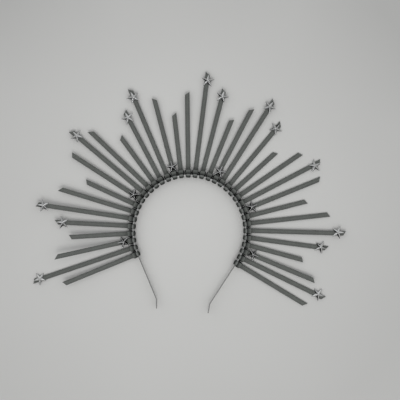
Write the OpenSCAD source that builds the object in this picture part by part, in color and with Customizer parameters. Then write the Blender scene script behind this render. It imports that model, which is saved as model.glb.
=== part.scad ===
// A sunburst headband: cable ties locked side by side round a thin steel hair band, with star studs on
// their tails. Millimetres. It lies flat on its back, z up, with the crown's top toward +y, and the
// origin is the centre of the arch on the plane that it lies on.

/* [Headband] */
// Radius of the strip's middle line round the arch
band_r = 59.1; // [59.1:0.1:70]
// Thickness of the steel strip
band_t = 1; // [0.6:0.1:1]
// Width of the steel strip, which stands on edge
band_w = 5; // [4:0.1:5]
// Angle between each straight arm and the crown's middle line
arm_lean = 27.85; // [20:0.05:32]
// Length of each straight arm
arm_len = 52; // [30:1:70]
// How far each end piece kinks back outward, in degrees
kink = 22.7; // [0:0.1:30]
// Length of each kinked end piece
end_len = 10; // [5:0.5:14]

/* [Cable ties] */
// Angle from one tie to the next
tie_pitch = 6.97; // [6.97:0.01:7.1]
// Place of the middle tie, in degrees round from +x
middle_tie = 89.4; // [89:0.1:91]
// Width of the strap
strap_w = 4.8; // [4:0.1:4.8]
// Thickness of the strap
strap_t = 1.3; // [1:0.05:1.3]
// Width of the locking head, round the arch
head_w = 7; // [6.2:0.1:7]
// Depth of the locking head, out from the band
head_d = 5.2; // [4.8:0.1:5.4]
// Length of the locking head, along z
head_l = 8; // [7:0.1:8.5]
// Height of the slot's middle in the head, from its back end
slot_up = 1.9; // [1.9:0.1:4]
// Width of the head's narrower top end
head_top_w = 5.7; // [5.2:0.1:6.2]
// Height at which the head's sides begin to lean in
lean_in_z = 3; // [3:0.1:6]
// Radius of the rounded outer end of the head, seen along z
head_round = 4.5; // [4.2:0.1:5]
// Width of the recess between the tail's two rails
ladder_w = 2.8; // [2:0.1:3.2]
// Depth of that recess
ladder_d = 0.35; // [0.2:0.05:0.5]

/* [Star studs] */
// Radius of a star to its points
star_r = 7.2; // [6.8:0.1:7.2]
// Radius to the notches between the points
notch_r = 2.9; // [2.6:0.1:3.1]
// Height of a star at its middle
star_h = 2.6; // [1.6:0.1:3]
// Thickness of a star at its rim
star_rim = 0.4; // [0.3:0.1:0.6]

/* [Fits] */
// Gap between a strap and the strip's faces
strap_gap = 0.15; // [0.1:0.05:0.2]
// Gap under a star
star_gap = 0.1; // [0.05:0.05:0.15]

/* [Hidden] */
$fn = 96;

// Each tie in turn, clockwise from the lower left as the crown is looked at from the front:
// shift: degrees that it stands off its even place; lean and rise: where its tail points, in degrees
// round z and in mm of lift at its end; tail: length past the head; cut: slant of its end in degrees,
// plus where the clockwise rail is the longer; star: how far out its star stands, or 0 for none;
// side: how far the star is glued off the tail's middle; turn: how far the star is turned from it.
//   shift  lean  rise  tail   cut  star  side  turn
ties = [
    [ 0.5, -1.2,  5.1,  77.0,   30,    0,    0,   0],
    [ 0.6,  2.2, -1.2, 107.0,  -30,  100,  0.4,   0],
    [ 0.1,  3.3, 11.1,  77.0,  -42,  5.4,    0,  -2],
    [ 0.2,  1.3,  6.3,  60.0,   30,    0,    0,   0],
    [ 0.0,  2.0,  3.1,  75.0,   40, 68.5, -0.4,  -3],
    [-0.3,  3.7,  5.5,  97.0,  -30, 90.5, -0.6,   0],
    [-0.3,  2.2,  3.9,  77.5,  -40,    0,    0,   0],
    [-0.3,  1.5,  2.0,  55.0,   33,    0,    0,   0],
    [-0.4,  0.5,  2.5,  82.0,   31,  5.2,    0,  -1],
    [-0.3,  0.0,  1.1,  97.5,  -33, 90.0, -0.1,  -9],
    [-0.2,  3.4,  2.1,  82.5,  -42,    0,    0,   0],
    [-0.1,  0.2,  2.1,  57.0,   33,    0,    0,   0],
    [ 0.0, -1.4,  2.1,  77.5,   30, 70.5, -0.2,  -2],
    [-0.2,  1.1,  1.1,  96.0,  -38, 87.5, -0.5,   2],
    [-0.1, -0.4,  2.1,  78.5,  -34,  5.2,  0.3,   1],
    [ 0.0, -1.6,  1.7,  59.0,   34,    0,    0,   0],
    [-0.1, -0.4,  2.1,  80.0,   31,    0,    0,   0],
    [ 0.0, -1.5,  1.1, 102.0,  -36, 94.5,  1.1,   0],
    [ 0.1, -2.0,  2.1,  87.5,  -33, 80.5,  0.1,  -4],
    [ 0.1, -2.5,  1.7,  60.0,   31,    0,    0,   0],
    [ 0.2, -1.1,  2.1,  78.5,   38,  5.4,  0.5,   1],
    [ 0.3,  0.7,  1.1,  97.5,  -37, 90.5, -0.4,  -4],
    [-0.1,  0.8, -1.2,  83.0,  -40, 76.0, -0.6,  -1],
    [-0.1,  0.1, -1.2,  57.5,   33,    0,    0,   0],
    [ 0.0, -1.0, -1.2,  77.5,   27,    0,    0,   0],
    [ 0.1, -1.0, -1.2,  90.5,  -34, 83.5,  1.2,   1],
    [-0.2,  0.8, -1.2,  82.5,  -34,  5.3,    0,   2],
    [-0.1, -0.2, -1.2,  61.5,   28,    0,    0,   0],
    [ 0.0, -1.3, -1.2,  82.5,   31,    0,    0,   0],
    [ 0.0, -2.3,  1.1,  98.0,  -30, 91.0, -0.7,   1],
    [ 0.0, -1.3, -1.2,  80.5,  -38, 74.0, -0.3,  -2],
    [ 0.0, -1.8,  0.1,  57.5,   30,    0,    0,   0],
    [ 0.1, -2.4,  2.3,  75.5,   37,  6.0, -0.4,  -1],
    [ 0.2,  1.0, -1.2,  92.5,  -34, 85.5, -1.0,   7],
    [ 0.3,  2.8, -1.2,  79.0,  -38,    0,    0,   0],
];
shift = 0;
lean = 1;
rise = 2;
tail = 3;
cut = 4;
star_at = 5;
star_side = 6;
star_turn = 7;

// The tie at the middle of the arch, counted from 0
middle = (len(ties) - 1) / 2;

// The ties that carry a star, in order, so that star number n stands on tie starred[n]
starred = [for (k = [0 : len(ties) - 1]) if (ties[k][star_at] > 0) k];

// Room left in the slot over and beside the strap, under the steel strip, and behind the head
slot_over = 0.35;
slot_side = 0.2;
under_band = 0.3;
behind_head = 0.1;

// Heights, from the plane that the heads' back ends rest on
slot_h = strap_t + 2 * slot_over;
slot_w = strap_w + 2 * slot_side;
band_z = slot_up + strap_t / 2 + under_band;
band_top = band_z + band_w;

// The loop's middle line: up from the head, a tight bend over the strip's front edge, two wider bends
// down and round its inner side, then out under its back edge into the slot
bend_r = strap_gap + (band_t + strap_t) / 2;
bend_z = band_top - strap_gap;
wide_r = 1.95;
top_wide_z = bend_z + bend_r - wide_r;
low_wide_z = slot_up + wide_r;

// The head, and where the tail leaves it
head_x = band_r + band_t / 2 + strap_gap + behind_head;
head_end = head_x + head_d;
round_x = head_x + head_d / 4;
pawl_l = 2.4;
pawl_w = 3.2;
ladder_start = 1.2;

// How far pieces that become one solid run into each other
overlap = 0.8;
hair = 0.02;

// Well outside the arch, for the wedge that opens its ring
far = 3 * band_r;

function two_digits(n) = str(n < 10 ? "0" : "", n);
function tie_name(k) = str("tie_", two_digits(k + 1));
function star_name(n) = str("star_", two_digits(n + 1));
function tie_angle(k) = middle_tie + (middle - k) * tie_pitch + ties[k][shift];

// A quarter of a ring as thick as the strap, from the given multiple of 90 degrees round
module quarter_ring(r, from) {
    outer = r + strap_t / 2;
    rotate(from)
    intersection() {
        difference() {
            circle(outer);
            circle(outer - strap_t);
        }
        square(outer + overlap);
    }
}

// One arm and its kinked end in plan, mitred at the kink. It is a hair thinner than the arch and starts
// inside the arch's right end, so that the two overlap without sharing a face.
module arm_plan() {
    a = -arm_lean;
    h = band_t / 2 - hair;
    along = [sin(a), -cos(a)];
    side = [cos(a), sin(a)];
    turned = a + kink;
    along2 = [sin(turned), -cos(turned)];
    side2 = [cos(turned), sin(turned)];
    start = band_r * side;
    elbow = start + arm_len * along;
    mitre = h / cos(kink / 2) * [cos(a + kink / 2), sin(a + kink / 2)];
    tip = elbow + end_len * along2;
    polygon([
        start - overlap * along + h * side,
        start - overlap * along - h * side,
        elbow - mitre,
        tip - h * side2,
        tip + h * side2,
        elbow + mitre,
    ]);
}

// The steel strip: an open ring on edge with a straight arm from each end
module headband() {
    color("silver")
    translate([0, 0, band_z])
    union() {
        linear_extrude(band_w)
        difference() {
            circle(band_r + band_t / 2);
            circle(band_r - band_t / 2);
            polygon([
                [0, 0],
                far * [-cos(arm_lean), -sin(arm_lean)],
                far * [cos(arm_lean), -sin(arm_lean)],
            ]);
        }
        linear_extrude(band_w)
        arm_plan();
        mirror([1, 0, 0])
        linear_extrude(band_w)
        arm_plan();
    }
}

// The strap's loop round the strip, drawn with x out from the arch and y for height, then stood up
module strap_loop() {
    rotate([90, 0, 0])
    linear_extrude(strap_w, center = true) {
        translate([band_r + bend_r - strap_t / 2, head_l - overlap])
        square([strap_t, bend_z - head_l + overlap]);
        translate([band_r, bend_z])
        quarter_ring(bend_r, 0);
        translate([band_r, top_wide_z])
        quarter_ring(wide_r, 90);
        translate([band_r - wide_r - strap_t / 2, low_wide_z])
        square([strap_t, top_wide_z - low_wide_z]);
        translate([band_r, low_wide_z])
        quarter_ring(wide_r, 180);
        translate([band_r, slot_up - strap_t / 2])
        square([head_end - band_r, strap_t]);
    }
}

// The locking head: a block with a rounded outer end, sides that lean in towards its top, and a slot
// right through, in which the pawl bears on the strap
module locking_head() {
    difference() {
        intersection() {
            linear_extrude(head_l)
            intersection() {
                translate([head_x, -head_w / 2])
                square([head_d, head_w]);
                translate([round_x, 0])
                circle(head_round);
            }
            translate([head_x - overlap, 0, 0])
            rotate([90, 0, 90])
            linear_extrude(head_d + 2 * overlap)
            polygon([
                [-head_w / 2, -overlap],
                [head_w / 2, -overlap],
                [head_w / 2, lean_in_z],
                [head_top_w / 2, head_l],
                [head_top_w / 2, head_l + overlap],
                [-head_top_w / 2, head_l + overlap],
                [-head_top_w / 2, head_l],
                [-head_w / 2, lean_in_z],
            ]);
        }
        translate([head_x - overlap, -slot_w / 2, slot_up - slot_h / 2])
        cube([head_d + 2 * overlap, slot_w, slot_h]);
    }
    translate([head_x + (head_d - pawl_l) / 2, -pawl_w / 2, slot_up])
    cube([pawl_l, pawl_w, slot_h]);
}

// What is put inside stands in the frame of tie k's tail: x along the tail from the head's outer end,
// z up through the strap from its middle
module on_tail(k) {
    t = ties[k];
    rotate([0, 0, tie_angle(k)])
    translate([head_end, 0, slot_up])
    rotate([0, -asin(t[rise] / t[tail]), t[lean]])
    children();
}

// The tail: a strap with a recess between its two rails, cut on a slant
module tail_strap(length, slant) {
    skew = strap_w / 2 * tan(slant);
    difference() {
        translate([0, 0, -strap_t / 2])
        linear_extrude(strap_t)
        polygon([
            [-overlap, -strap_w / 2],
            [length + skew, -strap_w / 2],
            [length - skew, strap_w / 2],
            [-overlap, strap_w / 2],
        ]);
        translate([ladder_start, -ladder_w / 2, strap_t / 2 - ladder_d])
        cube([length + strap_w, ladder_w, strap_t]);
    }
}

module tie(k) {
    color("dimgray")
    union() {
        rotate([0, 0, tie_angle(k)]) {
            locking_head();
            strap_loop();
        }
        on_tail(k)
        tail_strap(ties[k][tail], ties[k][cut]);
    }
}

// A stud: ridges run from its raised middle down to the five points, with flat facets between. Its back
// is flat, in ten triangles round the middle.
module star_stud() {
    rim = [for (i = [0 : 9]) (i % 2 == 0 ? star_r : notch_r) * [cos(36 * i), sin(36 * i)]];
    low = [for (p = rim) [p[0], p[1], 0]];
    high = [for (p = rim) [p[0], p[1], star_rim]];
    polyhedron(
        points = concat(low, high, [[0, 0, star_h], [0, 0, 0]]),
        faces = concat(
            [for (i = [0 : 9]) [i, (i + 1) % 10, 21]],
            [for (i = [0 : 9]) [i, i + 10, (i + 1) % 10 + 10, (i + 1) % 10]],
            [for (i = [0 : 9]) [i + 10, 20, (i + 1) % 10 + 10]]
        ),
        convexity = 4
    );
}

module star(n) {
    k = starred[n];
    t = ties[k];
    color("lightgray")
    on_tail(k)
    translate([t[star_at], -t[star_side], strap_t / 2 + star_gap])
    rotate([0, 0, t[star_turn]])
    star_stud();
}

headband();
for (k = [0 : len(ties) - 1])
    tie(k);
for (n = [0 : len(starred) - 1])
    star(n);
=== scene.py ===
# %% [markdown]
# # A sunburst headband: cable ties and star studs on a steel hair band
#
# The real object is a thin steel hair band with thirty-five cable ties locked side by side round
# its arch. Their tails stand out like rays, cut on a slant at three lengths, and twenty faceted
# metal stars are glued on them. It lies flat on a pale board and is looked at from straight above.
#
# This lesson dresses the packed CAD part. The CAD solids give every size and place; here each of
# them gets the fine shape that the maker's part has (rails and ladder teeth, rounded mouldings,
# bevelled facets) and a finish. Shapes are worked out with numpy as whole arrays, and put into
# meshes in one go.

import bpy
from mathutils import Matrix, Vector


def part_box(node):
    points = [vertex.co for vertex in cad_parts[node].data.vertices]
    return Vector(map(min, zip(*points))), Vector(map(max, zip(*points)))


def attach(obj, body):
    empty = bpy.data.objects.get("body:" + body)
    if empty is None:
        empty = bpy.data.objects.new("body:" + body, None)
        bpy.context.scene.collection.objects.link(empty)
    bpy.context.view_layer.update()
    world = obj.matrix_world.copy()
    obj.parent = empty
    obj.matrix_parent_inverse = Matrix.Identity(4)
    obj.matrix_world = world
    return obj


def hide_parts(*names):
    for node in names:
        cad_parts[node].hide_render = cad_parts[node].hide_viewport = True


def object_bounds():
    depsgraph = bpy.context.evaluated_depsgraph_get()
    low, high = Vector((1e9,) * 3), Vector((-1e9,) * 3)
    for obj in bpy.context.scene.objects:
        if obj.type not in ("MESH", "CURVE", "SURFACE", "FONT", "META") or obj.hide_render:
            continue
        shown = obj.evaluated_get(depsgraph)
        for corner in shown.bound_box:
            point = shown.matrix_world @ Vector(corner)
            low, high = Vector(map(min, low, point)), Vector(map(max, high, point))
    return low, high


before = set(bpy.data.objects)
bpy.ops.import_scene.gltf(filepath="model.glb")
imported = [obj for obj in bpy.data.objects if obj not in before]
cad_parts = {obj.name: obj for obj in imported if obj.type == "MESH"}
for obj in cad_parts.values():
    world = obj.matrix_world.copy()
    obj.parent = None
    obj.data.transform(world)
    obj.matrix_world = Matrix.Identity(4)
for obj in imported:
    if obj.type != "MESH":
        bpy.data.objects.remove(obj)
cad_low, cad_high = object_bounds()
cad_box = [round(v * 1000, 1) for v in (*cad_low, *cad_high)]
print("CAD nodes:", len(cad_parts), "box in mm:", cad_box)

# %% [markdown]
# ## The ties, a row each
#
# No two hand-tightened ties point the same way, so each has a row of its own. Random numbers could
# scatter them, but then the rays would not be those of the photograph. The rows are the ones that
# the CAD solids were made from. A record array gives its columns names, so that the code below
# reads `tie.lean` and not `tie[1]`.

import bmesh
import bpy
import numpy as np
from mathutils import Vector

# shift: degrees off its even place; lean: degrees that the tail turns aside; rise: lift of its end;
# tail: length past the head; cut: slant of its end in degrees; star: how far out its star stands,
# or 0; side: how far the star is off the tail's middle; turn: degrees that the star is turned.
ties = np.rec.fromrecords([
    # shift lean  rise   tail  cut  star  side  turn
    (0.5, -1.2, 5.1, 77.0, 30, 0, 0, 0),
    (0.6, 2.2, -1.2, 107.0, -30, 100, 0.4, 0),
    (0.1, 3.3, 11.1, 77.0, -42, 5.4, 0, -2),
    (0.2, 1.3, 6.3, 60.0, 30, 0, 0, 0),
    (0.0, 2.0, 3.1, 75.0, 40, 68.5, -0.4, -3),
    (-0.3, 3.7, 5.5, 97.0, -30, 90.5, -0.6, 0),
    (-0.3, 2.2, 3.9, 77.5, -40, 0, 0, 0),
    (-0.3, 1.5, 2.0, 55.0, 33, 0, 0, 0),
    (-0.4, 0.5, 2.5, 82.0, 31, 5.2, 0, -1),
    (-0.3, 0.0, 1.1, 97.5, -33, 90.0, -0.1, -9),
    (-0.2, 3.4, 2.1, 82.5, -42, 0, 0, 0),
    (-0.1, 0.2, 2.1, 57.0, 33, 0, 0, 0),
    (0.0, -1.4, 2.1, 77.5, 30, 70.5, -0.2, -2),
    (-0.2, 1.1, 1.1, 96.0, -38, 87.5, -0.5, 2),
    (-0.1, -0.4, 2.1, 78.5, -34, 5.2, 0.3, 1),
    (0.0, -1.6, 1.7, 59.0, 34, 0, 0, 0),
    (-0.1, -0.4, 2.1, 80.0, 31, 0, 0, 0),
    (0.0, -1.5, 1.1, 102.0, -36, 94.5, 1.1, 0),
    (0.1, -2.0, 2.1, 87.5, -33, 80.5, 0.1, -4),
    (0.1, -2.5, 1.7, 60.0, 31, 0, 0, 0),
    (0.2, -1.1, 2.1, 78.5, 38, 5.4, 0.5, 1),
    (0.3, 0.7, 1.1, 97.5, -37, 90.5, -0.4, -4),
    (-0.1, 0.8, -1.2, 83.0, -40, 76.0, -0.6, -1),
    (-0.1, 0.1, -1.2, 57.5, 33, 0, 0, 0),
    (0.0, -1.0, -1.2, 77.5, 27, 0, 0, 0),
    (0.1, -1.0, -1.2, 90.5, -34, 83.5, 1.2, 1),
    (-0.2, 0.8, -1.2, 82.5, -34, 5.3, 0, 2),
    (-0.1, -0.2, -1.2, 61.5, 28, 0, 0, 0),
    (0.0, -1.3, -1.2, 82.5, 31, 0, 0, 0),
    (0.0, -2.3, 1.1, 98.0, -30, 91.0, -0.7, 1),
    (0.0, -1.3, -1.2, 80.5, -38, 74.0, -0.3, -2),
    (0.0, -1.8, 0.1, 57.5, 30, 0, 0, 0),
    (0.1, -2.4, 2.3, 75.5, 37, 6.0, -0.4, -1),
    (0.2, 1.0, -1.2, 92.5, -34, 85.5, -1.0, 7),
    (0.3, 2.8, -1.2, 79.0, -38, 0, 0, 0),
], names="shift, lean, rise, tail, cut, star, side, turn")
starred = np.flatnonzero(ties.star > 0)
print("ties:", len(ties), "stars:", len(starred), "longest tail:", ties.tail.max(), "mm")

# %% [markdown]
# ## A mesh from arrays
#
# Blender works in metres, while everything here is written in millimetres and scaled once, by the
# helper below. Every piece ends in the same way: points and faces become a mesh, doubles are
# merged, faces are turned outward, and edges sharper than an angle stay crisp while the rest is
# shaded smooth. Then the piece takes its finish and rides on the part's body. Most shapes are
# grids, a row of points for each place along a path, so their faces come from one function too.

# %% Make a piece
MM = 0.001
scene = bpy.context.scene


def make_piece(name, points, faces, run, material, sharp=30.0):
    """A mesh object from an (n, 3) array in millimetres. run holds two numbers for each point, and
    becomes the UV map that a finish follows: on a strap or strip the millimetres along it and
    across it, and on a stud how near a point is to a ridge and to the peak."""
    mesh = bpy.data.meshes.new(name)
    mesh.from_pydata((points * MM).tolist(), [], faces)
    corners = np.empty(len(mesh.loops), np.int32)
    mesh.loops.foreach_get("vertex_index", corners)
    layer = mesh.uv_layers.new(name="run")
    layer.data.foreach_set("uv", run[corners].astype(np.float32).ravel())
    shape = bmesh.new()
    shape.from_mesh(mesh)
    bmesh.ops.remove_doubles(shape, verts=shape.verts, dist=1e-7)
    bmesh.ops.recalc_face_normals(shape, faces=shape.faces)
    shape.to_mesh(mesh)
    shape.free()
    mesh.shade_smooth()
    mesh.set_sharp_from_angle(angle=np.radians(sharp))
    mesh.materials.append(material)
    piece = bpy.data.objects.new(name, mesh)
    scene.collection.objects.link(piece)
    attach(piece, "root")
    return piece


def grid_faces(rows, cols, closed_rows=False):
    """Quads between neighbouring rows of a grid whose columns close on themselves: points j and
    j + 1 of row i with the same two of row i + 1. With closed_rows the last row joins the first,
    which makes a ring; otherwise the first row and the last are each filled by a flat cap."""
    steps = rows if closed_rows else rows - 1
    i, j = np.meshgrid(np.arange(steps), np.arange(cols), indexing="ij")
    here, there, after = i * cols, (i + 1) % rows * cols, (j + 1) % cols
    quads = np.stack([here + j, here + after, there + after, there + j], -1)
    faces = quads.reshape(-1, 4).tolist()
    if not closed_rows:
        last = (rows - 1) * cols
        faces += [list(range(cols)), list(range(last, last + cols))]
    return faces


print("faces of a capped tube of five rings of eight points:", len(grid_faces(5, 8)))

# %% [markdown]
# ## Shader maths as Python
#
# A node tree written call by call is hard to read. One small class wraps an output socket and gives
# it the operators of arithmetic, so that a mask is written as `1 - noise * 0.4` and the Math nodes
# appear by themselves. Python takes the reflected forms, such as `__rsub__`, when the plain number
# stands first.

# %% A wire
class Wire:
    """An output socket that is added, subtracted and multiplied, with wires or plain numbers."""

    def __init__(self, graph, socket):
        self.graph, self.socket = graph, socket

    def _math(self, operation, *values):
        """A Math node with those values or wires on its sockets."""
        return self.graph.node("Math", {"operation": operation}, dict(enumerate(values)))

    def __add__(self, other): return self._math("ADD", self, other)
    def __radd__(self, other): return self._math("ADD", other, self)
    def __sub__(self, other): return self._math("SUBTRACT", self, other)
    def __rsub__(self, other): return self._math("SUBTRACT", other, self)
    def __mul__(self, other): return self._math("MULTIPLY", self, other)
    def __rmul__(self, other): return self._math("MULTIPLY", other, self)
    def __abs__(self): return self._math("ABSOLUTE", self)


print("wire methods:", *(name for name, member in vars(Wire).items() if callable(member)))

# %% [markdown]
# ## A tree of nodes, and a finish
#
# Every finish, and later the room round the board, is a tree of nodes with one shader at its end.
# One method adds any node: its kind, its settings, and what its sockets get. The others are short
# names for what comes back in most finishes. Colours go through a Mix node, since a Math node would
# turn them grey. A finish is such a tree in a material of its own.

# %% A graph and a finish
class Graph:
    """A node tree with one shader, and the one method that adds any other node to it."""

    def plug(self, value, socket):
        """A wire is linked to the socket, and anything else is set on it, a colour with alpha."""
        if isinstance(value, Wire):
            self.tree.links.new(value.socket, socket)
        else:
            socket.default_value = (*value, 1) if socket.type == "RGBA" else value

    def node(self, kind, settings=None, sockets=None, out=0):
        """Adds a node of that kind, with its settings first and then the values or wires of its
        sockets, and gives the wire that leaves it."""
        made = self.tree.nodes.new("ShaderNode" + kind)
        for key, value in (settings or {}).items():
            setattr(made, key, value)
        for key, value in (sockets or {}).items():
            self.plug(value, made.inputs[key])
        return Wire(self, made.outputs[out])

    def drive(self, inputs):
        """Links or sets the shader's own sockets, by name."""
        for socket, value in inputs.items():
            self.plug(value, self.shader.inputs[socket])

    def place(self):
        """Object coordinates, in metres."""
        return self.node("TexCoord", out="Object")

    def run(self):
        """The two numbers that the piece has for each point."""
        return self.node("UVMap", {"uv_map": "run"})

    def part(self, vector, axis):
        """One of a vector's numbers: 0 for x, 1 for y, 2 for z."""
        return self.node("SeparateXYZ", sockets={0: vector}, out=axis)

    def facing_up(self):
        """The z of the surface's normal: 1 where it looks straight up, 0 where it is upright."""
        return self.part(self.node("NewGeometry", out="Normal"), 2)

    def distance(self, point):
        """The distance from a point, in metres."""
        sockets = {0: self.place(), 1: point}
        return self.node("VectorMath", {"operation": "DISTANCE"}, sockets, out="Value")

    def noise(self, size, detail, where=None):
        """Cloudy noise from 0 to 1, with blotches of that many millimetres, or else of that many
        of the units of where."""
        if where is None:
            where, size = self.place(), size * MM
        return self.node("TexNoise", sockets={"Vector": where, "Scale": 1 / size, "Detail": detail})

    def mix(self, amount, first, second):
        """A colour that many parts of the way from the first to the second."""
        return self.node("Mix", {"data_type": "RGBA"}, {0: amount, 6: first, 7: second}, out=2)

    def spread(self, wire, low, high, to_low=0.0, to_high=1.0):
        """Maps low..high of a wire to to_low..to_high on a straight line, and keeps it inside."""
        return self.node("MapRange", sockets={0: wire, 1: low, 2: high, 3: to_low, 4: to_high})

    def bump(self, height, depth):
        """A normal that stands depth millimetres proud where height is 1."""
        return self.node("Bump", sockets={"Height": height, "Distance": depth * MM})


class Finish(Graph):
    """A material, as a graph with one Principled shader."""

    def __init__(self, name, constants):
        self.material = bpy.data.materials.new(name)
        self.material.use_nodes = True
        self.tree = self.material.node_tree
        self.shader = self.tree.nodes["Principled BSDF"]
        self.drive(constants)


print("graph methods:", *(name for name, member in vars(Graph).items() if callable(member)))

# %% [markdown]
# ## Finish: spray-painted nylon
#
# The ties are nylon, sprayed matt dark grey. That could be a painted image, but masks that are
# worked out fit every tie and stay sharp. Much of the colour is painted light and shade. The
# normal's z paints the shade of steep faces: faces that look up are grey, and steep ones, such as
# the heads' sides, are painted nearly black. The run map tells the rest. A line along each loop's
# crown is a painted highlight, in a lighter grey. Past it, where the strap goes down behind the
# band, the grey is more than half painted shade, and so is the corner of a head by its strap's
# root.
# Tails are lighter than loops, and lighter still in the ladder. Close up there are a fine grain,
# soft blotches and a few pale specks.

# %% Painted nylon
# the first colour is the near-black of the painted shade
SHADE_BLACK, PALE_SPECK = (0.012, 0.014, 0.013), (0.26, 0.26, 0.255)
THIN_COAT, THICK_COAT = (0.080, 0.084, 0.078), (0.172, 0.180, 0.167)
# the grey of the painted highlight along the loops' crowns
HIGHLIGHT_GREY = (0.250, 0.257, 0.248)
CROWN_LINE = 2.2              # on a strap, in mm from its root: the painted highlight's line,
INNER_SHADE_BEGINS = (2.9, 3.7)      # where the painted shade behind the band begins,
INNER_SHADE_ENDS = (12.0, 13.0)     # where it ends,
TAIL_LIGHTENS = (20.0, 30.0)  # and where the tail leaves the head
HEAD_CORNER_SHADE = (61.1, 63.8)    # on a head, in mm from the arch's centre: the painted shade in its corner
HEAD_ASIDE = 9                # the mm that a head's run is moved across, off its strap's
PAST_STRAP = (4.0, 4.1)       # across: a strap's run reaches 2.4 mm, and a head's begins at 5.5
LADDER_HALF = 1.4             # the ladder's half width

paint = Finish("painted_nylon", {"Specular IOR Level": 0.1})
blotch, grain = paint.noise(6.0, detail=3), paint.noise(0.22, detail=2)
speck = paint.spread(paint.noise(0.5, detail=1), 0.62, 0.72)
along, across = paint.part(paint.run(), 0), abs(paint.part(paint.run(), 1))
ladder = paint.spread(across, LADDER_HALF + 0.1, LADDER_HALF - 0.1)
# painted shade: faces are darker the steeper they stand
up_facing_light = paint.spread(paint.facing_up() + (grain - 0.5) * 0.3, 0.55, 0.97)
# painted shade in a head's corner by its strap's root
corner_shade = paint.spread(across, *PAST_STRAP) * paint.spread(along, *HEAD_CORNER_SHADE, 0.85, 0.0)
# painted shade on the strap where it goes down behind the band
behind_band_light = paint.spread(along, *INNER_SHADE_BEGINS, 1.0, 0.45) + paint.spread(along, *INNER_SHADE_ENDS, 0.0, 0.55)
tone = blotch * 0.45 + grain * 0.35 + ladder * 0.3 + paint.spread(along, *TAIL_LIGHTENS) * 0.15
# painted highlight along each loop's crown
crown_highlight = paint.spread(abs(along - CROWN_LINE), 0.25, 0.7, 0.75, 0.0)
grey = paint.mix(crown_highlight, paint.mix(tone, THIN_COAT, THICK_COAT), HIGHLIGHT_GREY)
# all the painted shade is mixed in here, down to near-black
coat_and_shade = paint.mix(up_facing_light * (1 - corner_shade) * behind_band_light, SHADE_BLACK, grey)
paint.drive({
    "Base Color": paint.mix(speck * 0.25, coat_and_shade, PALE_SPECK),
    "Roughness": 0.5 + grain * 0.2,
    "Normal": paint.bump(grain + blotch * 0.5, 0.03),
})
print("painted nylon:", len(paint.tree.nodes), "nodes")

# %% [markdown]
# ## Finish: brushed spring steel
#
# The strip was rolled along its length, which left fine lines on it. An image of brushed metal
# would repeat and show a seam, so noise is stretched along the run instead, forty to one. The lines
# change the roughness most, and the colour and height only a little. The flat sides are bright. The
# edge that looks up is duller: half bright along the arch, and dark on the arms.

# %% Brushed steel
DIM_METAL, BRIGHT_METAL = (0.58, 0.58, 0.57), (0.78, 0.78, 0.77)
ARCH_EDGE, ARM_EDGE = (0.38, 0.38, 0.375), (0.19, 0.19, 0.185)
ARM_STARTS = (119.0, 123.0)  # mm along the strip from the top of the arch
STRETCH = 40

steel = Finish("satin_steel", {"Metallic": 1.0})
stretched = steel.node("Mapping", sockets={"Vector": steel.run(), "Scale": (1 / STRETCH, 1, 1)})
lines, cloud = steel.noise(0.12, detail=3, where=stretched), steel.noise(9.0, detail=2)
from_top = abs(steel.part(steel.run(), 0))
flat = steel.mix(lines * 0.6 + cloud * 0.4, DIM_METAL, BRIGHT_METAL)
edge = steel.mix(steel.spread(from_top, *ARM_STARTS), ARCH_EDGE, ARM_EDGE)
steel.drive({
    "Base Color": steel.mix(steel.spread(steel.facing_up(), 0.2, 0.7), flat, edge),
    "Roughness": 0.25 + lines * 0.2,
    "Normal": steel.bump(lines, 0.01),
})
print("satin steel:", len(steel.tree.nodes), "nodes")

# %% [markdown]
# ## Finish: silver-coloured stud metal
#
# The studs are bright plated metal. Handling leaves hairline scratches and a faint haze, which show
# in the highlights, so they go into roughness and bump. Every stud's valleys and its rim are
# darkened as painted shade. A stud's run map tells where these are: its first number is 1 on a
# ridge and 0 in a valley, its second 1 at the peak and 0 at the rim, and the difference is large
# only near an arm's point. The six studs near the band are painted darker still, away from their
# ridges and points, as painted shade and dark reflection. The distance from the arch's centre tells
# which they are, so that one finish serves all twenty.

# %% Stud metal
# painted shade: the grey of the valleys and rims, and the near-black of the near studs
VALLEY_SHADE, NEAR_STUD_SHADE = (0.14, 0.14, 0.14), (0.03, 0.03, 0.03)
NEAR_STUDS = (90 * MM, 100 * MM)  # the near studs lie within this of the arch's centre

silver = Finish("stud_metal", {"Metallic": 1.0})
haze, hairline = silver.noise(2.5, detail=3), silver.noise(0.25, detail=2)
ridge, height = silver.part(silver.run(), 0), silver.part(silver.run(), 1)
near = silver.spread(silver.distance((0, 0, 0)), *NEAR_STUDS, 1.0, 0.0)
off_ridge = silver.spread(ridge, 0.75, 0.95, 1.0, 0.0)
off_point = silver.spread(ridge - height, 0.45, 0.85, 1.0, 0.3)
# painted shade in the valleys and at the rim
clear_of_shade = silver.spread(ridge, 0.0, 0.6) * silver.spread(height, 0.0, 0.13)
metal_with_shade = silver.mix(clear_of_shade, VALLEY_SHADE, silver.mix(haze, DIM_METAL, BRIGHT_METAL))
# painted shade and dark reflection on the near studs, kept off their ridges and points
silver.drive({
    "Base Color": silver.mix(near * off_ridge * off_point * 0.75, metal_with_shade, NEAR_STUD_SHADE),
    "Roughness": 0.05 + haze * 0.08 + hairline * 0.04,
    "Normal": silver.bump(hairline, 0.008),
})
print("stud metal:", len(silver.tree.nodes), "nodes")

# %% [markdown]
# ## The path of a strap
#
# A cable tie's strap leaves the head at its top, turns over the front edge of the band, runs down
# behind it, comes out under it through the slot, and goes on as the tail. It could be a curve
# object with a profile, but the teeth need rows of points at chosen distances, so the path is
# worked out. Seen along the arch, its middle line is straight pieces and quarter circles: a short
# list, each a length and a turning. Every point follows from the heading at its piece's start.

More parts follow.
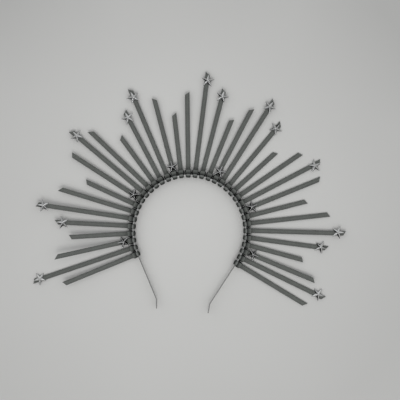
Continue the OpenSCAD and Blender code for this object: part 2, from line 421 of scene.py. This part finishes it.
# %% The strap's middle line
BAND_R, BAND_T, BAND_W = 59.1, 1.0, 5.0  # the strip's middle line, its thickness and width
STRAP_T, HEAD_D, HEAD_L = 1.3, 5.2, 8.0  # the strap's thickness, a head's depth and length
SLOT_Z, ROOT_DEEP = 1.9, 1.0             # the slot's height, and how deep the root lies in a head
STRAP_GAP, HEAD_GAP, SLOT_GAP = 0.15, 0.25, 0.3
HEAD_X = BAND_R + BAND_T / 2 + HEAD_GAP
HEAD_END = HEAD_X + HEAD_D
BAND_Z = SLOT_Z + STRAP_T / 2 + SLOT_GAP
BEND_R = STRAP_GAP + (BAND_T + STRAP_T) / 2
BEND_Z = BAND_Z + BAND_W - STRAP_GAP
WIDE_R = 1.95                            # the loop's two bends on the inner side
ROOT_Z = HEAD_L - ROOT_DEEP
loop_pieces = [  # length, turning in degrees
    (BEND_Z - ROOT_Z, 0),
    (BEND_R * np.pi / 2, 90),
    (WIDE_R * np.pi / 2, 90),
    (BEND_Z + BEND_R - 2 * WIDE_R - SLOT_Z, 0),
    (WIDE_R * np.pi / 2, 90),
    (HEAD_END - BAND_R, 0),
]
loop_len = sum(length for length, _ in loop_pieces)


def loop_line(s):
    """x and z at distance s, and the heading there. Along a piece that turns by a total angle over
    its length, the heading grows evenly and the point moves by the difference of its sine and
    cosine over the turning per millimetre; on a straight piece it moves by the distance times the
    heading."""
    x, z = np.full(s.shape, BAND_R + BEND_R), np.full(s.shape, ROOT_Z)
    heading, start = np.full(s.shape, np.pi / 2), 0.0
    for length, turning in loop_pieces:
        t = np.clip(s - start, 0, length)
        if turning:
            per_mm = np.radians(turning) / length
            x = x + (np.sin(heading + per_mm * t) - np.sin(heading)) / per_mm
            z = z - (np.cos(heading + per_mm * t) - np.cos(heading)) / per_mm
            heading = heading + per_mm * t
        else:
            x, z = x + t * np.cos(heading), z + t * np.sin(heading)
        start += length
    return x, z, heading


print("strap in the loop:", round(loop_len, 1), "mm")

# %% [markdown]
# ## Frames along a strap
#
# The section has to stand square to the path, so each place needs two directions: across the strap,
# and up out of its toothed face. A curve object would find its own and twist them a little; worked
# out from the heading they stay true. Behind the head the tail goes its own way, lifted and turned
# aside. A hard corner there would crease the mesh, so it is blended.

# %% Frames
TAIL_BEND = 1.5  # mm that the corner is rounded to each side


def tail_angles(tie):
    """How far a tail is lifted and turned aside, in radians. The lift's sine is rise over tail."""
    return np.arcsin(tie.rise / tie.tail), np.radians(tie.lean)


def strap_frame(tie, s):
    """Points on the strap's middle line, and the unit vectors across it and up out of its toothed
    face, in the tie's own frame. Past the head the line goes straight on in the tail's direction.
    The corner between the two is blended by a parabola: the square of the way into the bend, over
    four times the bend's length to one side."""
    x, z, heading = loop_line(s)
    nothing = np.zeros_like(x)
    past = s - loop_len
    parabola = (past + TAIL_BEND) ** 2 / (4 * TAIL_BEND)
    eased = np.where(past < -TAIL_BEND, 0, np.where(past > TAIL_BEND, past, parabola))
    share = np.clip((past + TAIL_BEND) / (2 * TAIL_BEND), 0, 1)[..., None]
    lift, lean = tail_angles(tie)
    out = np.array([np.cos(lift) * np.cos(lean), np.cos(lift) * np.sin(lean), np.sin(lift)])
    middle = np.stack([x, nothing, z], -1) + (np.maximum(past, 0) - eased)[..., None] * [1, 0, 0]
    middle = middle + eased[..., None] * out
    across = (1 - share) * [0, 1, 0] + share * [-np.sin(lean), np.cos(lean), 0]
    tangent = np.stack([np.cos(heading), nothing, np.sin(heading)], -1)
    tangent = (1 - share) * tangent + share * out
    up = np.cross(tangent, across)
    return middle, across, up / np.linalg.norm(up, axis=-1, keepdims=True)


most_lift, most_lean = np.degrees(np.abs(tail_angles(ties)).max(-1)).round(1)
print("tails are lifted by up to", most_lift, "and lean by up to", most_lean, "degrees")

# %% [markdown]
# ## The strap's section
#
# Cut across, a strap is a flat bar with rounded edges, a back that curves up to them, and a shallow
# groove between two rails on its toothed face. A plain bar with a Bevel modifier would have no
# groove, so the section is a closed profile, written point by point round the bar.

# %% Section
STRAP_W, EDGE_R, CROWN = 4.8, 0.28, 0.6  # width, edges' radius, how far the back curves up
LADDER_DEPTH, GROOVE_LEAN = 0.35, 0.08
QUARTER = np.radians([0, 30, 60, 90])
half_w, half_t = STRAP_W / 2, STRAP_T / 2
inner_w, inner_t, floor_h = half_w - EDGE_R, half_t - EDGE_R, half_t - LADDER_DEPTH
groove_w = LADDER_HALF + GROOVE_LEAN


def corner(centre_y, centre_h, turn):
    """A quarter circle of the edge's radius, started at that turn."""
    angle = QUARTER + np.radians(turn)
    return np.stack([centre_y + EDGE_R * np.cos(angle), centre_h + EDGE_R * np.sin(angle)], -1)


width_share = np.sin(np.linspace(-1, 1, 11) * np.pi / 2)
back = np.stack([half_w * width_share, -half_t + CROWN * np.abs(width_share) ** 4], -1)
groove = [[groove_w, half_t], [LADDER_HALF, floor_h], [-LADDER_HALF, floor_h], [-groove_w, half_t]]
section = np.concatenate([back, corner(inner_w, inner_t, 0), groove, corner(-inner_w, inner_t, 90)])
in_groove = (section[:, 1] > 0) & (abs(section[:, 0]) < LADDER_HALF + 0.01)
print("section points:", len(section), "of them in the groove:", in_groove.sum())

# %% [markdown]
# ## The ladder, and a whole strap
#
# Teeth cross the groove, each steep on the side towards the head, so that the pawl holds it, and a
# gentle ramp on the other. A bump texture would be cheaper, but the teeth break the light along
# each ray, so they are real: rows of points stand where a tooth turns a corner, and only those in
# the groove move up and down. The slanted cut needs no Boolean either, since each column simply
# stops at its own distance.

# %% Teeth and strap
TOOTH_PITCH, TOOTH_H, FIRST_TOOTH = 1.2, 0.26, 4.0
TOOTH_AT, TOOTH_RISE = [0, 0.1, 0.25, 0.85, 1], [0, 1, 1, 0, 0]
SHOULDER, SHOULDER_LEN = 0.28, 2.2  # how much wider the root is, and over what length


def tooth_height(s):
    """How high the ladder stands at distance s, 0 to 1: up steeply, a short flat top, a ramp."""
    return np.interp(s / TOOTH_PITCH % 1, TOOTH_AT, TOOTH_RISE)


def strap(tie):
    """The strap as a grid: a row at each corner of each tooth, a column for each point of the
    section. A slanted cut is a limit on each column's distance: the strap's length, less the
    column's place across times the slant's tangent. Past it the points fall together. Near the
    root the width grows with the square of what is left of the shoulder."""
    cut_at = loop_len + tie.tail - section[:, 0] * np.tan(np.radians(tie.cut))
    teeth = np.arange(np.ceil(cut_at.max() / TOOTH_PITCH))
    rows = (teeth[:, None] + TOOTH_AT[:-1]).ravel() * TOOTH_PITCH
    rows = np.append(rows[rows < cut_at.max()], cut_at.max())
    s = np.minimum(rows[:, None], cut_at)
    middle, across, up = strap_frame(tie, s)
    height = section[:, 1] + in_groove * tooth_height(s) * TOOTH_H * (s > FIRST_TOOTH)
    width = section[:, 0] * (1 + SHOULDER * np.clip(1 - s / SHOULDER_LEN, 0, 1) ** 2)
    points = middle + width[..., None] * across + height[..., None] * up
    run = np.stack([s, np.broadcast_to(section[:, 0], s.shape)], -1)
    return points.reshape(-1, 3), grid_faces(len(rows), len(section)), run.reshape(-1, 2)


longest = loop_len + ties.tail.max()
print("teeth on the longest strap:", int((longest - FIRST_TOOTH) / TOOTH_PITCH))

# %% [markdown]
# ## The locking head
#
# A head is a rounded block bored through by a slot, with sides that lean in towards its top. A
# Boolean modifier could cut the slot, but it leaves long thin faces round the mouth. A block with a
# hole through it is a ring, so one grid that closes both ways makes it cleanly. Round the slot the
# section is a rounded rectangle; along the other direction it grows from the slot's size to the
# block's, over an eased edge, along the outside and back in through the other mouth. The outer end
# is pulled in towards the sides, which gives the domed shape seen from above.

# %% The columns round a head
HEAD_W, HEAD_TOP_W, LEAN_IN_Z, HEAD_ROUND = 7.0, 5.7, 3.0, 4.5
BLOCK_R, EASE = 0.9, 0.55                # the block's corners, and its eased edges
ARC, FLAT = 6, 7                         # columns on a corner, and on the flat top or bottom
flat_share = np.linspace(1, -1, FLAT + 2)[1:-1]
arcs = [np.radians(np.linspace(turn, turn + 90, ARC)) for turn in (0, 90, 180, 270)]
# a column's place on the rounded rectangle is its share of the straight sides, and the corner's
# angle. One column more on each side stands at the height where the sides begin to lean in.
knee = (LEAN_IN_Z - HEAD_L / 2) / (HEAD_L / 2 - BLOCK_R)
share_y = np.concatenate([np.ones(ARC), flat_share, -np.ones(ARC + 1 + ARC), -flat_share,
                          np.ones(ARC + 1)])
share_z = np.concatenate([np.ones(ARC + FLAT + ARC), [knee], -np.ones(ARC + FLAT + ARC), [knee]])
angle = np.concatenate([arcs[0], np.full(FLAT, np.pi / 2), arcs[1], [np.pi],
                        arcs[2], np.full(FLAT, -np.pi / 2), arcs[3], [0]])
print("columns round a head:", len(angle))

# %% [markdown]
# ## The rows of a head, and its pawl
#
# The other direction needs a table: where a row stands along the slot, how far it has grown from
# the slot to the block, and how much it is drawn in. All rows and columns then meet in one sum. The
# pawl is the small tongue in the slot that bears on the teeth. Only its side view matters, so it is
# a five-cornered profile with a width.

# %% Locking head and pawl
SLOT_W, SLOT_H = STRAP_W + 0.4, STRAP_T + 0.7  # the strap's section and some play
MOUTH_R, MOUTH_DEEP, MOUTH_FLARE = 0.25, 0.3, 0.2
PAWL_W = 2.5
PAWL_SIDE = [[1.3, 1.4], [1.6, 0.45], [2.4, 0.4], [3.3, 0.95], [3.9, 1.4]]  # from the slot's start


def locking_head():
    """The head in the tie's own frame. Each row has a place along x, a share from slot to block,
    an inset, and a share of the dome. A column's y and z are the straight side's share times the
    half size less the corner radius, plus that radius times the cosine and sine of the corner's
    angle. Above the knee y shrinks evenly with height, down to the top's share of the width. The
    dome is a circle round a point a quarter of the depth in."""
    ease, slope = EASE * (1 - np.cos(QUARTER)), EASE * (1 - np.sin(QUARTER))
    near = np.stack([HEAD_X + ease, np.ones(4), slope, np.zeros(4)], -1)
    far = np.stack([HEAD_END - ease[::-1], np.ones(4), slope[::-1], np.ones(4)], -1)
    inner_mouth = [[HEAD_X + MOUTH_DEEP, 0, 0, 0], [HEAD_X, 0, -MOUTH_FLARE, 0]]
    outer_mouth = [[HEAD_END, 0, -MOUTH_FLARE, 1], [HEAD_END - MOUTH_DEEP, 0, 0, 1]]
    rows = np.concatenate([inner_mouth, near, far, outer_mouth])
    x, grow, inset, dome = (rows[:, i, None] for i in range(4))
    half_y = SLOT_W / 2 + (HEAD_W - SLOT_W) / 2 * grow - inset
    half_z = SLOT_H / 2 + (HEAD_L - SLOT_H) / 2 * grow - inset
    round_r = MOUTH_R + (BLOCK_R - MOUTH_R) * grow
    y = share_y * (half_y - round_r) + round_r * np.cos(angle)
    middle_z = SLOT_Z + (HEAD_L / 2 - SLOT_Z) * grow
    z = middle_z + share_z * (half_z - round_r) + round_r * np.sin(angle)
    narrowed = np.clip((z - LEAN_IN_Z) / (HEAD_L - LEAN_IN_Z), 0, 1) * grow
    y = y * (1 - (1 - HEAD_TOP_W / HEAD_W) * narrowed)
    dome_x = HEAD_X + HEAD_D / 4 + np.sqrt(HEAD_ROUND ** 2 - y ** 2)
    x = x - dome * np.maximum(HEAD_END - dome_x, 0)
    points = np.stack([x, y, z], -1).reshape(-1, 3)
    return points, grid_faces(len(rows), len(angle), closed_rows=True)


def pawl():
    """The tongue in the slot: its profile, seen from the side, at minus and plus half its width."""
    profile = np.array(PAWL_SIDE) + [HEAD_X, SLOT_Z]
    sides = [np.insert(profile, 1, side, axis=1) for side in (-PAWL_W / 2, PAWL_W / 2)]
    return np.concatenate(sides), grid_faces(len(sides), len(profile))


head_points, head_faces = locking_head()
pawl_points, pawl_faces = pawl()
print("head faces:", len(head_faces), "pawl faces:", len(pawl_faces))

# %% [markdown]
# ## Thirty-five ties
#
# Each tie is one moulding, so strap, head and pawl share one mesh, turned to its place round the
# arch. Linked copies of a single tie would be lighter, but every tail has its own length, slant and
# lean. The largest difference between a tie's box and its CAD solid's is printed, as a check that
# it stands where the solid does.

# %% Build the ties
TIE_PITCH, MIDDLE_TIE = 6.97, 89.4  # degrees from tie to tie, and from the x axis to the middle one


def turned(points, turn):
    """Points turned about z by an angle: x and y are mixed by its cosine and sine."""
    x_axis, y_axis = [np.cos(turn), np.sin(turn), 0], [-np.sin(turn), np.cos(turn), 0]
    return points @ np.array([x_axis, y_axis, [0, 0, 1]])


def stand(points, k):
    """From tie k's own frame, with x out from the arch's centre, to the part's frame."""
    even_place = MIDDLE_TIE + ((len(ties) - 1) / 2 - k) * TIE_PITCH
    return turned(points, np.radians(even_place + ties.shift[k]))


def box_gap(piece, node):
    """The largest difference in millimetres between a piece's box and its CAD node's."""
    place = np.empty((len(piece.data.vertices), 3), np.float32)
    piece.data.vertices.foreach_get("co", place.ravel())
    low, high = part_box(node)
    return max(abs(place.min(0) - low).max(), abs(place.max(0) - high).max()) / MM


def more(faces, first):
    """The same faces, with their points counted from first."""
    return [[point + first for point in face] for face in faces]


# head and pawl are the same on every tie
block_points = np.concatenate([head_points, pawl_points])
block_run = block_points[:, :2] + [0, HEAD_ASIDE]
block_faces = head_faces + more(pawl_faces, len(head_points))
worst = 0
for k, tie in enumerate(ties):
    points, faces, run = strap(tie)
    name = f"tie_{k + 1:02d}"
    piece = make_piece("moulded_" + name, stand(np.concatenate([points, block_points]), k),
                       faces + more(block_faces, len(points)), np.concatenate([run, block_run]),
                       paint.material)
    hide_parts(name)
    worst = max(worst, box_gap(piece, name))
print("ties made:", len(ties), "largest difference from the CAD boxes:", round(worst, 2), "mm")

# %% [markdown]
# ## The plan of the steel band
#
# Seen from above, the band is an arc, two straight arms and two short kinked ends. A curve object
# could draw it, but the finish needs the true distance along the strip, so it is again a path of
# lengths and turnings. Only the right half is walked, from the top of the arch to its end, and then
# mirrored. The last few rows stand close together, because the tip is rounded off there.

# %% Plan of the strip
ARM_LEAN, ARM_LEN, KINK, END_LEN = 27.85, 52.0, 22.7, 10.0  # degrees, mm, degrees, mm
KINK_R, TIP_R, TIP_CLEAR, PLAN_STEP = 2.0, 2.0, 0.3, 1.2
TIP_ROWS = np.array([2.0, 1.3, 0.8, 0.4, 0.15, 0.02])       # mm from the tip


def half_plan():
    """Points, headings and distances from the top of the arch to the right end, at about even
    steps. Each piece of the path turns evenly along its length, so heading is its running sum, and
    place is the running sum of the heading's cosine and sine over short steps, taken at their
    middles. Each step's chord is its length times the sine of half its turn over that angle."""
    bend = KINK_R * np.radians(KINK)
    arc = BAND_R * np.radians(90 + ARM_LEAN)
    length = np.array([arc, ARM_LEN - bend / 2, bend, END_LEN - bend / 2])
    turning = np.radians([-(90 + ARM_LEAN), 0, KINK, 0])
    counts = np.maximum(np.ceil(length / PLAN_STEP), 4).astype(int)
    lengths, turns = np.repeat(length / counts, counts), np.repeat(turning / counts, counts)
    heading = np.concatenate([[0], np.cumsum(turns)])
    middle = heading[:-1] + turns / 2
    chord = lengths * np.sinc(turns / 2 / np.pi)
    move = chord[:, None] * np.stack([np.cos(middle), np.sin(middle)], -1)
    place = np.array([0, BAND_R]) + np.concatenate([[[0, 0]], np.cumsum(move, 0)])
    return place, heading, np.concatenate([[0], np.cumsum(lengths)])


def both_halves(right, flip):
    """The left half, which is the right one backwards times flip, and the right one after it."""
    return np.concatenate([right[:0:-1] * flip, right])


def whole_plan():
    """Places, headings and distances of all rows, from the left tip to the right one. The rows of
    the tip lie back from the end by their distance times its heading."""
    place, heading, s = half_plan()
    keep = s < s[-1] - TIP_R - TIP_CLEAR
    tip = place[-1] - np.outer(TIP_ROWS, [np.cos(heading[-1]), np.sin(heading[-1])])
    place = np.concatenate([place[keep], tip])
    heading = np.concatenate([heading[keep], np.full(len(TIP_ROWS), heading[-1])])
    run = np.concatenate([s[keep], s[-1] - TIP_ROWS])
    return both_halves(place, [-1, 1]), both_halves(heading, -1), both_halves(run, -1)


plan, plan_heading, plan_run = whole_plan()
print("rows along the strip:", len(plan_run), "length:", round(2 * plan_run.max(), 1), "mm")

# %% [markdown]
# ## The steel strip
#
# The strip stands on edge, and its four edges are rounded like any hair band's, so a rounded bar is
# carried along the plan. A curve object's profile would keep its width, but this one has to shrink
# as a circle does near each tip.

# %% Steel strip
SOFT_EDGE = 0.3


def steel_strip():
    """A rounded bar section carried along the plan: its out goes along the plan's normal and its
    up along z. Within the tip's radius of an end, its half width loses that radius less the root
    of the radius squared less the way past the tip's centre squared."""
    past = np.clip(TIP_R - (plan_run.max() - abs(plan_run)), 0, TIP_R)
    shrink = TIP_R - np.sqrt(TIP_R ** 2 - past ** 2)
    turn = (np.radians([0, 90, 180, 270])[:, None] + QUARTER).ravel()
    side_n, side_z = np.repeat([1, -1, -1, 1], 4), np.repeat([1, 1, -1, -1], 4)
    out = side_n * (BAND_T / 2 - SOFT_EDGE) + SOFT_EDGE * np.cos(turn)
    up = side_z * (BAND_W / 2 - SOFT_EDGE - shrink[:, None]) + SOFT_EDGE * np.sin(turn)
    normal = np.stack([-np.sin(plan_heading), np.cos(plan_heading)], -1)
    spread_out = plan[:, None] + out[None, :, None] * normal[:, None]
    points = np.concatenate([spread_out, (BAND_Z + BAND_W / 2 + up)[..., None]], -1)
    full_up = up[len(up) // 2]
    sides = np.hypot(np.diff(out, append=out[0]), np.diff(full_up, append=full_up[0]))
    run = np.stack(np.broadcast_arrays(plan_run[:, None], np.cumsum(sides)), -1)
    return points.reshape(-1, 3), grid_faces(len(plan), len(turn)), run.reshape(-1, 2)


points, faces, run = steel_strip()
band = make_piece("steel_strip", points, faces, run, steel.material)
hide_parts("headband")
gap = round(box_gap(band, "headband"), 2)
print("steel strip:", len(faces), "faces, difference from the CAD box:", gap, "mm")

# %% [markdown]
# ## The shape of a star stud
#
# A stud is a five-armed pyramid: from its raised middle, ridges run down to the points and valleys
# to the notches, with a flat facet between each pair. Its facets have to be truly flat to flash one
# by one, so it is built from just twenty-two points and not smoothed: two rings of ten, the foot
# and the top of the rim, then the peak and the middle of the back.

# %% Shape of a stud
STAR_R, NOTCH_R, STAR_H, STAR_RIM = 7.2, 2.9, 2.6, 0.4
PEAK, BACK = 20, 21  # the last two points' numbers


def star_points():
    """Ten corners, every other one a point or a notch, 36 degrees apart, on two rings, and the two
    middles."""
    turn = np.radians(36 * np.arange(10))
    radius = np.where(np.arange(10) % 2, NOTCH_R, STAR_R)
    ring = np.stack([radius * np.cos(turn), radius * np.sin(turn)], -1)
    low = np.column_stack([ring, np.zeros(10)])
    high = np.column_stack([ring, np.full(10, STAR_RIM)])
    return np.concatenate([low, high, [[0, 0, STAR_H], [0, 0, 0]]])


here = np.arange(10)
after = (here + 1) % 10
star_faces = [*np.stack([here, here + 10, after + 10, after], -1).tolist(),
              *np.stack([here + 10, np.full(10, PEAK), after + 10], -1).tolist(),
              *np.stack([here, after, np.full(10, BACK)], -1).tolist()]
star_run = np.zeros((22, 2))
star_run[10:PEAK:2, 0] = 1.0  # the ridges' lower ends, at the top of the rim
star_run[PEAK] = 1.0
print("stud faces:", len(star_faces))

# %% [markdown]
# ## Twenty studs in their places
#
# Each stud is glued flat on its tail, so it takes that tail's lift and lean and then the tie's own
# turn. Real studs catch a thin line of light along their ridges, because no edge is quite sharp. A
# Bevel modifier eases the edges, which is simpler than working out more points.

# %% Build the studs
STAR_GAP, EASED_EDGE, EASED_STEPS = 0.1, 0.12, 3  # mm above the tail, mm, segments


def on_tail(points, k):
    """From the frame of tie k's tail, x along it and z out of its toothed face, to the tie's own
    frame: a tilt about y by the lift, a turn about z by the lean, and a move to the slot's end."""
    lift, lean = tail_angles(ties[k])
    tilt = [[np.cos(lift), 0, np.sin(lift)], [0, 1, 0], [-np.sin(lift), 0, np.cos(lift)]]
    return turned(points @ np.array(tilt), lean) + [HEAD_END, 0, SLOT_Z]


worst = 0
for n, k in enumerate(starred):
    tie = ties[k]
    points = turned(star_points(), np.radians(tie.turn))
    points = points + [tie.star, -tie.side, STRAP_T / 2 + STAR_GAP]
    name = f"star_{n + 1:02d}"
    piece = make_piece("stud_" + name, stand(on_tail(points, k), k), star_faces, star_run,
                       silver.material, sharp=25)
    ease = piece.modifiers.new("eased_edges", "BEVEL")
    ease.width, ease.segments, ease.harden_normals = EASED_EDGE * MM, EASED_STEPS, True
    ease.limit_method, ease.angle_limit = "ANGLE", np.radians(20)
    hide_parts(name)
    worst = max(worst, box_gap(piece, name))
print("studs made:", len(starred), "largest difference from the CAD boxes:", round(worst, 2), "mm")

# %% [markdown]
# ## The board
#
# The crown lies on a plain pale board with a fine tooth. One large face is enough for it. Its light
# is palest near the top of the arch and falls off outwards, most of all in the two far corners of
# the picture. Lamps could shade it so too, but they would change the crown's own light as well, so
# the falloff is painted shade in the board's colour.

# %% Board
PALE, GREYED = (0.723, 0.716, 0.695), (0.523, 0.518, 0.503)
PALEST = (-16 * MM, 51 * MM, 0)
BOARD_HALF = 1500 * MM

board = Finish("pale_board", {"Specular IOR Level": 0.2, "Roughness": 0.9})
drift, tooth = board.noise(160.0, detail=1), board.noise(1.2, detail=3)
# painted falloff of the light: palest near the top of the arch, greyer outwards
light_falloff = board.spread(board.distance(PALEST), 40 * MM, 285 * MM)
board_x, board_y = board.part(board.place(), 0), board.part(board.place(), 1)
beside = board.spread(abs(board_x), 90 * MM, 220 * MM)
# painted shade in the two far corners
corner_falloff = beside * board.spread(board_y, 130 * MM, 250 * MM)
tone_and_falloff = drift * 0.15 + tooth * 0.1 + light_falloff * 0.67 + corner_falloff * 0.35
board.drive({
    "Base Color": board.mix(tone_and_falloff, PALE, GREYED),
    "Normal": board.bump(tooth, 0.02),
})
board_corners = np.array([[-1, -1, 0], [1, -1, 0], [1, 1, 0], [-1, 1, 0]]) * BOARD_HALF
mesh = bpy.data.meshes.new("board")
mesh.from_pydata(board_corners.tolist(), [], [(0, 1, 2, 3)])
mesh.materials.append(board.material)
floor = bpy.data.objects.new("board", mesh)
scene.collection.objects.link(floor)
print("board:", round(2 * BOARD_HALF, 1), "m wide,", len(board.tree.nodes), "nodes")

# %% [markdown]
# ## The room's light
#
# Most light comes from a bright ceiling, which is darker towards the far side. The walls below it
# light the board little, but they are what the studs' facets and the steel's sides mirror: patchy,
# brightest beyond the crown's top, and with one dark corner at the lower left, so that facets turn
# either bright or dark. A photographed panorama could do this, but a few masks of the look
# direction give each of these parts a number of its own.

# %% Room
SUNNY, SHADED = np.radians([100, 226])  # the brightest and the darkest way, from the x axis
WALL_TOP = (0.40, 0.55)                 # a look's z where the walls become the ceiling
ROOM_WHITE = (0.97, 0.985, 1.0)


class Room(Graph):
    """The world, as a graph with one Background shader."""

    def __init__(self, name):
        self.world = bpy.data.worlds.new(name)
        self.world.use_nodes = True
        self.tree = self.world.node_tree
        self.shader = self.tree.nodes["Background"]


room = Room("room")
look = room.node("TexCoord", out="Generated")
look_x, look_y, look_z = (room.part(look, axis) for axis in range(3))


def toward(turn):
    """How far a look goes that way: its x times the turn's cosine plus its y times the sine."""
    return look_x * np.cos(turn) + look_y * np.sin(turn)


patches = room.spread(room.noise(1 / 3.2, detail=1, where=look), 0.42, 0.58)
dark_corner = room.spread(toward(SHADED), 0.79, 0.94)
walls = (0.42 + toward(SUNNY) * 0.26) * (0.7 + patches * 0.6) * (1 - dark_corner * 0.92)
ceiling = 0.78 - room.spread(look_y, 0.3, 0.75, 0.0, 0.4)
sky = walls + (ceiling - walls) * room.spread(look_z, *WALL_TOP)
room.drive({"Color": room.mix(sky, (0, 0, 0), ROOM_WHITE)})
scene.world = room.world
print("room:", len(room.tree.nodes), "nodes")

# %% [markdown]
# ## The window
#
# One lamp, a square as large as a window, stands high on the near side and faces the arch's centre.
# It gives the shadows their direction: those of raised tips fall away from the near side. A small
# lamp or a sun would draw them with hard edges, which the photograph does not have.

# %% Window
WINDOW_AT, WINDOW_SIZE, WINDOW_POWER = Vector((50, -620, 1220)), 600, 4.1  # mm, mm, watts

glow = bpy.data.lights.new("window", "AREA")
glow.size, glow.energy = WINDOW_SIZE * MM, WINDOW_POWER
window = bpy.data.objects.new("window", glow)
window.location = WINDOW_AT * MM
window.rotation_mode = "QUATERNION"
window.rotation_quaternion = (-WINDOW_AT).to_track_quat("-Z", "Y")
scene.collection.objects.link(window)
print("window:", round(WINDOW_AT.length), "mm from the arch's centre")

# %% [markdown]
# ## The camera
#
# The photograph was taken from straight above. The camera hangs a metre over the slots' height, and
# its lens is worked out from how many millimetres the picture shows there, which is easier to
# measure than an angle. It is turned a little, because the headband lies askew in the picture.

# %% Camera
CAMERA_X, CAMERA_Y, CAMERA_UP = 8.1, 33.9, 1000
VIEW_WIDE, VIEW_TURN, SENSOR = 421, 5.12, 36  # mm in the picture, degrees, mm

camera = bpy.data.objects.new("camera", bpy.data.cameras.new("camera"))
camera.data.sensor_width = SENSOR
camera.data.lens = SENSOR * CAMERA_UP / VIEW_WIDE
camera.location = Vector((CAMERA_X, CAMERA_Y, SLOT_Z + CAMERA_UP)) * MM
camera.rotation_euler = (0, 0, np.radians(VIEW_TURN))
scene.collection.objects.link(camera)
scene.camera = camera
scene.view_settings.view_transform = "Standard"
print("camera: lens of", round(camera.data.lens, 1), "mm, shows", VIEW_WIDE, "mm")

# %% [markdown]
